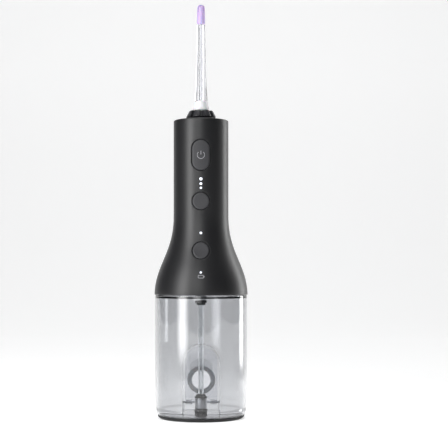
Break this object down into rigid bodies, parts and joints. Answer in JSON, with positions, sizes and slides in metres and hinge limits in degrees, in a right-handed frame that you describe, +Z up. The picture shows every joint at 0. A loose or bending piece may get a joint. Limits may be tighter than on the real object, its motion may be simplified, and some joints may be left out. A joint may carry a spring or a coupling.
{
  "type": "cordless water flosser",
  "caption": "Cordless oral irrigator: flared black handle with buttons, rotating nozzle, clear bayonet water tank with weighted suction hose and rear fill door.",
  "frame": {"origin": "centre of the foot's underside, on the surface the flosser stands on", "axes": "+Z up along the handle, -Y the front with the buttons, +X to the right seen from the front"},
  "size_m": [0.068, 0.068, 0.3007],
  "materials": {
    "matte_black": "fine satin moulded",
    "gloss_black": "smooth semi-gloss",
    "grey_plastic": "moulded",
    "clear_plastic": "clear moulded copolyester",
    "frosted_white": "frosted",
    "lavender_soft": "soft moulded tip",
    "silicone": "translucent silicone",
    "black_rubber": "matte",
    "steel": "turned",
    "brass": "machined",
    "copper_winding": "enamelled wire",
    "circuit_green": "solder mask",
    "light_pipe": "clear white light guide",
    "cell_wrap": "shrink sleeve over a steel cell",
    "nylon": "natural nylon"
  },
  "bodies": {
    "handle": {"handle_housing": "matte_black", "top_cap": "matte_black", "intensity_lights": "light_pipe", "mode_light": "light_pipe", "battery_light": "light_pipe", "battery_light_board": "circuit_green", "circuit_board": "circuit_green", "keypad_membrane": "black_rubber", "power_switch": "steel", "intensity_switch": "steel", "mode_switch": "steel", "battery_cell": "cell_wrap", "charging_socket": "steel", "charging_board": "circuit_green", "chassis": "grey_plastic", "gear_frame": "nylon", "motor_can": "steel", "motor_end_cap": "nylon", "motor_screw_left": "steel", "motor_screw_right": "steel", "gear_axle": "steel", "pump_body": "nylon", "pump_head": "grey_plastic", "inlet_valve": "black_rubber", "outlet_valve": "black_rubber", "inlet_tube": "silicone", "pressure_tube": "silicone", "nozzle_socket": "grey_plastic", "socket_seal": "black_rubber", "release_spring": "steel", "pump_deck": "grey_plastic", "tank_gasket": "black_rubber", "deck_screw_1": "steel", "deck_screw_2": "steel", "deck_screw_3": "steel", "hose_connector": "black_rubber"},
    "power_key": {"power_button": "matte_black"},
    "intensity_key": {"intensity_button": "matte_black"},
    "mode_key": {"mode_button": "matte_black"},
    "release_key": {"release_button": "matte_black"},
    "port_cover": {"charging_port_cover": "black_rubber"},
    "knob": {"rotation_knob": "gloss_black", "knob_clip": "steel"},
    "nozzle": {"nozzle_base": "frosted_white", "nozzle_shaft": "clear_plastic", "nozzle_tip": "lavender_soft"},
    "rotor": {"motor_armature": "copper_winding", "motor_pinion": "brass"},
    "crank": {"drive_gear": "nylon"},
    "plunger": {"piston": "nylon", "piston_seal": "black_rubber"},
    "tank": {"water_tank": "clear_plastic", "tank_foot": "black_rubber", "fill_door_pin": "steel"},
    "door": {"fill_door": "clear_plastic", "fill_door_seal": "silicone"},
    "suction_line": {"suction_hose": "silicone", "weight_cap": "black_rubber", "hose_weight": "steel", "intake_filter": "black_rubber"}
  },
  "joints": [
    {"name": "power_press", "type": "slide", "parent": "handle", "child": "power_key", "axis": [0, 1, 0], "range_m": [0, 0.0008], "stiffness_N_per_m": 1500},
    {"name": "intensity_press", "type": "slide", "parent": "handle", "child": "intensity_key", "axis": [0, 1, 0], "range_m": [0, 0.0008], "stiffness_N_per_m": 1500},
    {"name": "mode_press", "type": "slide", "parent": "handle", "child": "mode_key", "axis": [0, 1, 0], "range_m": [0, 0.0008], "stiffness_N_per_m": 1500},
    {"name": "release_press", "type": "slide", "parent": "handle", "child": "release_key", "axis": [0, -1, 0], "range_m": [0, 0.002], "stiffness_N_per_m": 600},
    {"name": "port_cover_hinge", "type": "hinge", "parent": "handle", "child": "port_cover", "pos_m": [0, 0.01965, 0.1506], "axis": [-1, 0, 0], "range_deg": [0, 110]},
    {"name": "knob_turn", "type": "hinge", "parent": "handle", "child": "knob", "pos_m": [0, 0, 0.22], "axis": [0, 0, 1], "continuous": true},
    {"name": "nozzle_pull", "type": "slide", "parent": "knob", "child": "nozzle", "axis": [0, 0, 1], "range_m": [0, 0.024]},
    {"name": "motor_spin", "type": "hinge", "parent": "handle", "child": "rotor", "pos_m": [0, 0.004, 0.12], "axis": [0, 0, 1], "continuous": true},
    {"name": "gear_spin", "type": "hinge", "parent": "handle", "child": "crank", "pos_m": [0, -0.00725, 0.111], "axis": [0, 0, 1], "continuous": true},
    {"name": "pump_stroke", "type": "slide", "parent": "handle", "child": "plunger", "axis": [1, 0, 0], "range_m": [-0.0022, 0.0022]},
    {"name": "tank_twist", "type": "hinge", "parent": "handle", "child": "tank", "pos_m": [0, 0, 0.0927], "axis": [0, 0, 1], "range_deg": [0, 30]},
    {"name": "fill_door_hinge", "type": "hinge", "parent": "tank", "child": "door", "pos_m": [0, 0.0287, 0.0088], "axis": [-1, 0, 0], "range_deg": [0, 90]},
    {"name": "hose_swing", "type": "hinge", "parent": "handle", "child": "suction_line", "pos_m": [0, -0.016, 0.0843], "axis": [0, 1, 0], "range_deg": [-12, 12]}
  ],
  "couplings": [
    {"joint": "gear_spin", "follows": "motor_spin", "ratio": -0.29412}
  ]
}
